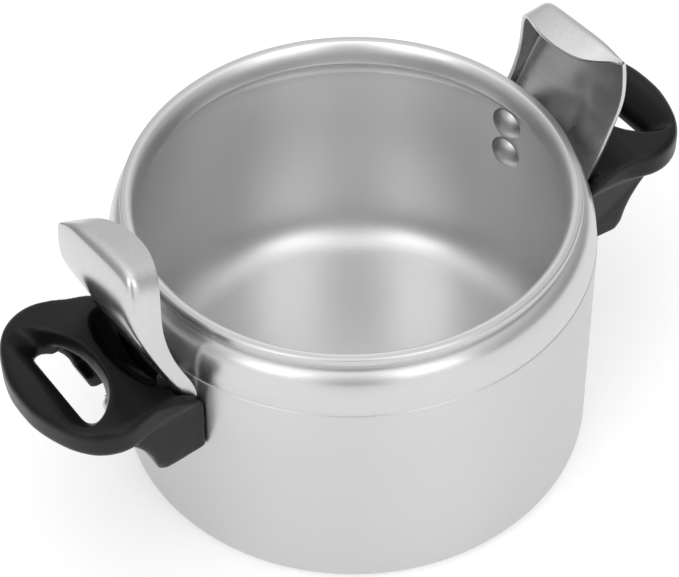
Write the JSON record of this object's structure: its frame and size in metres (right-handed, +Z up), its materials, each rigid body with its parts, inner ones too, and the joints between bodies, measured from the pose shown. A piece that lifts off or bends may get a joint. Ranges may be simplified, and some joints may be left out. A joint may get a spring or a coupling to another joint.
{
  "type": "pressure cooker pot",
  "caption": "Deep round aluminium pressure cooker pot with hooked steel lid-locking brackets and black moulded side handles, lid off.",
  "frame": {"origin": "centre of the pot's underside", "axes": "+Z up through the pot's mouth, X through the two handles, right handle at +X, left handle at -X"},
  "size_m": [0.339, 0.216, 0.1711],
  "materials": {
    "pot": "satin",
    "bracket": "polished",
    "rivet": "polished",
    "handle": "satin and gloss",
    "fastening": "zinc plated"
  },
  "bodies": {
    "root": {"pot_body": "pot", "right_lock_bracket": "bracket", "right_upper_rivet": "rivet", "right_lower_rivet": "rivet", "right_handle": "handle", "right_handle_stud": "fastening", "right_flat_washer": "fastening", "right_spring_washer": "fastening", "right_cap_nut": "fastening", "left_lock_bracket": "bracket", "left_upper_rivet": "rivet", "left_lower_rivet": "rivet", "left_handle": "handle", "left_handle_stud": "fastening", "left_flat_washer": "fastening", "left_spring_washer": "fastening", "left_cap_nut": "fastening"}
  },
  "joints": []
}
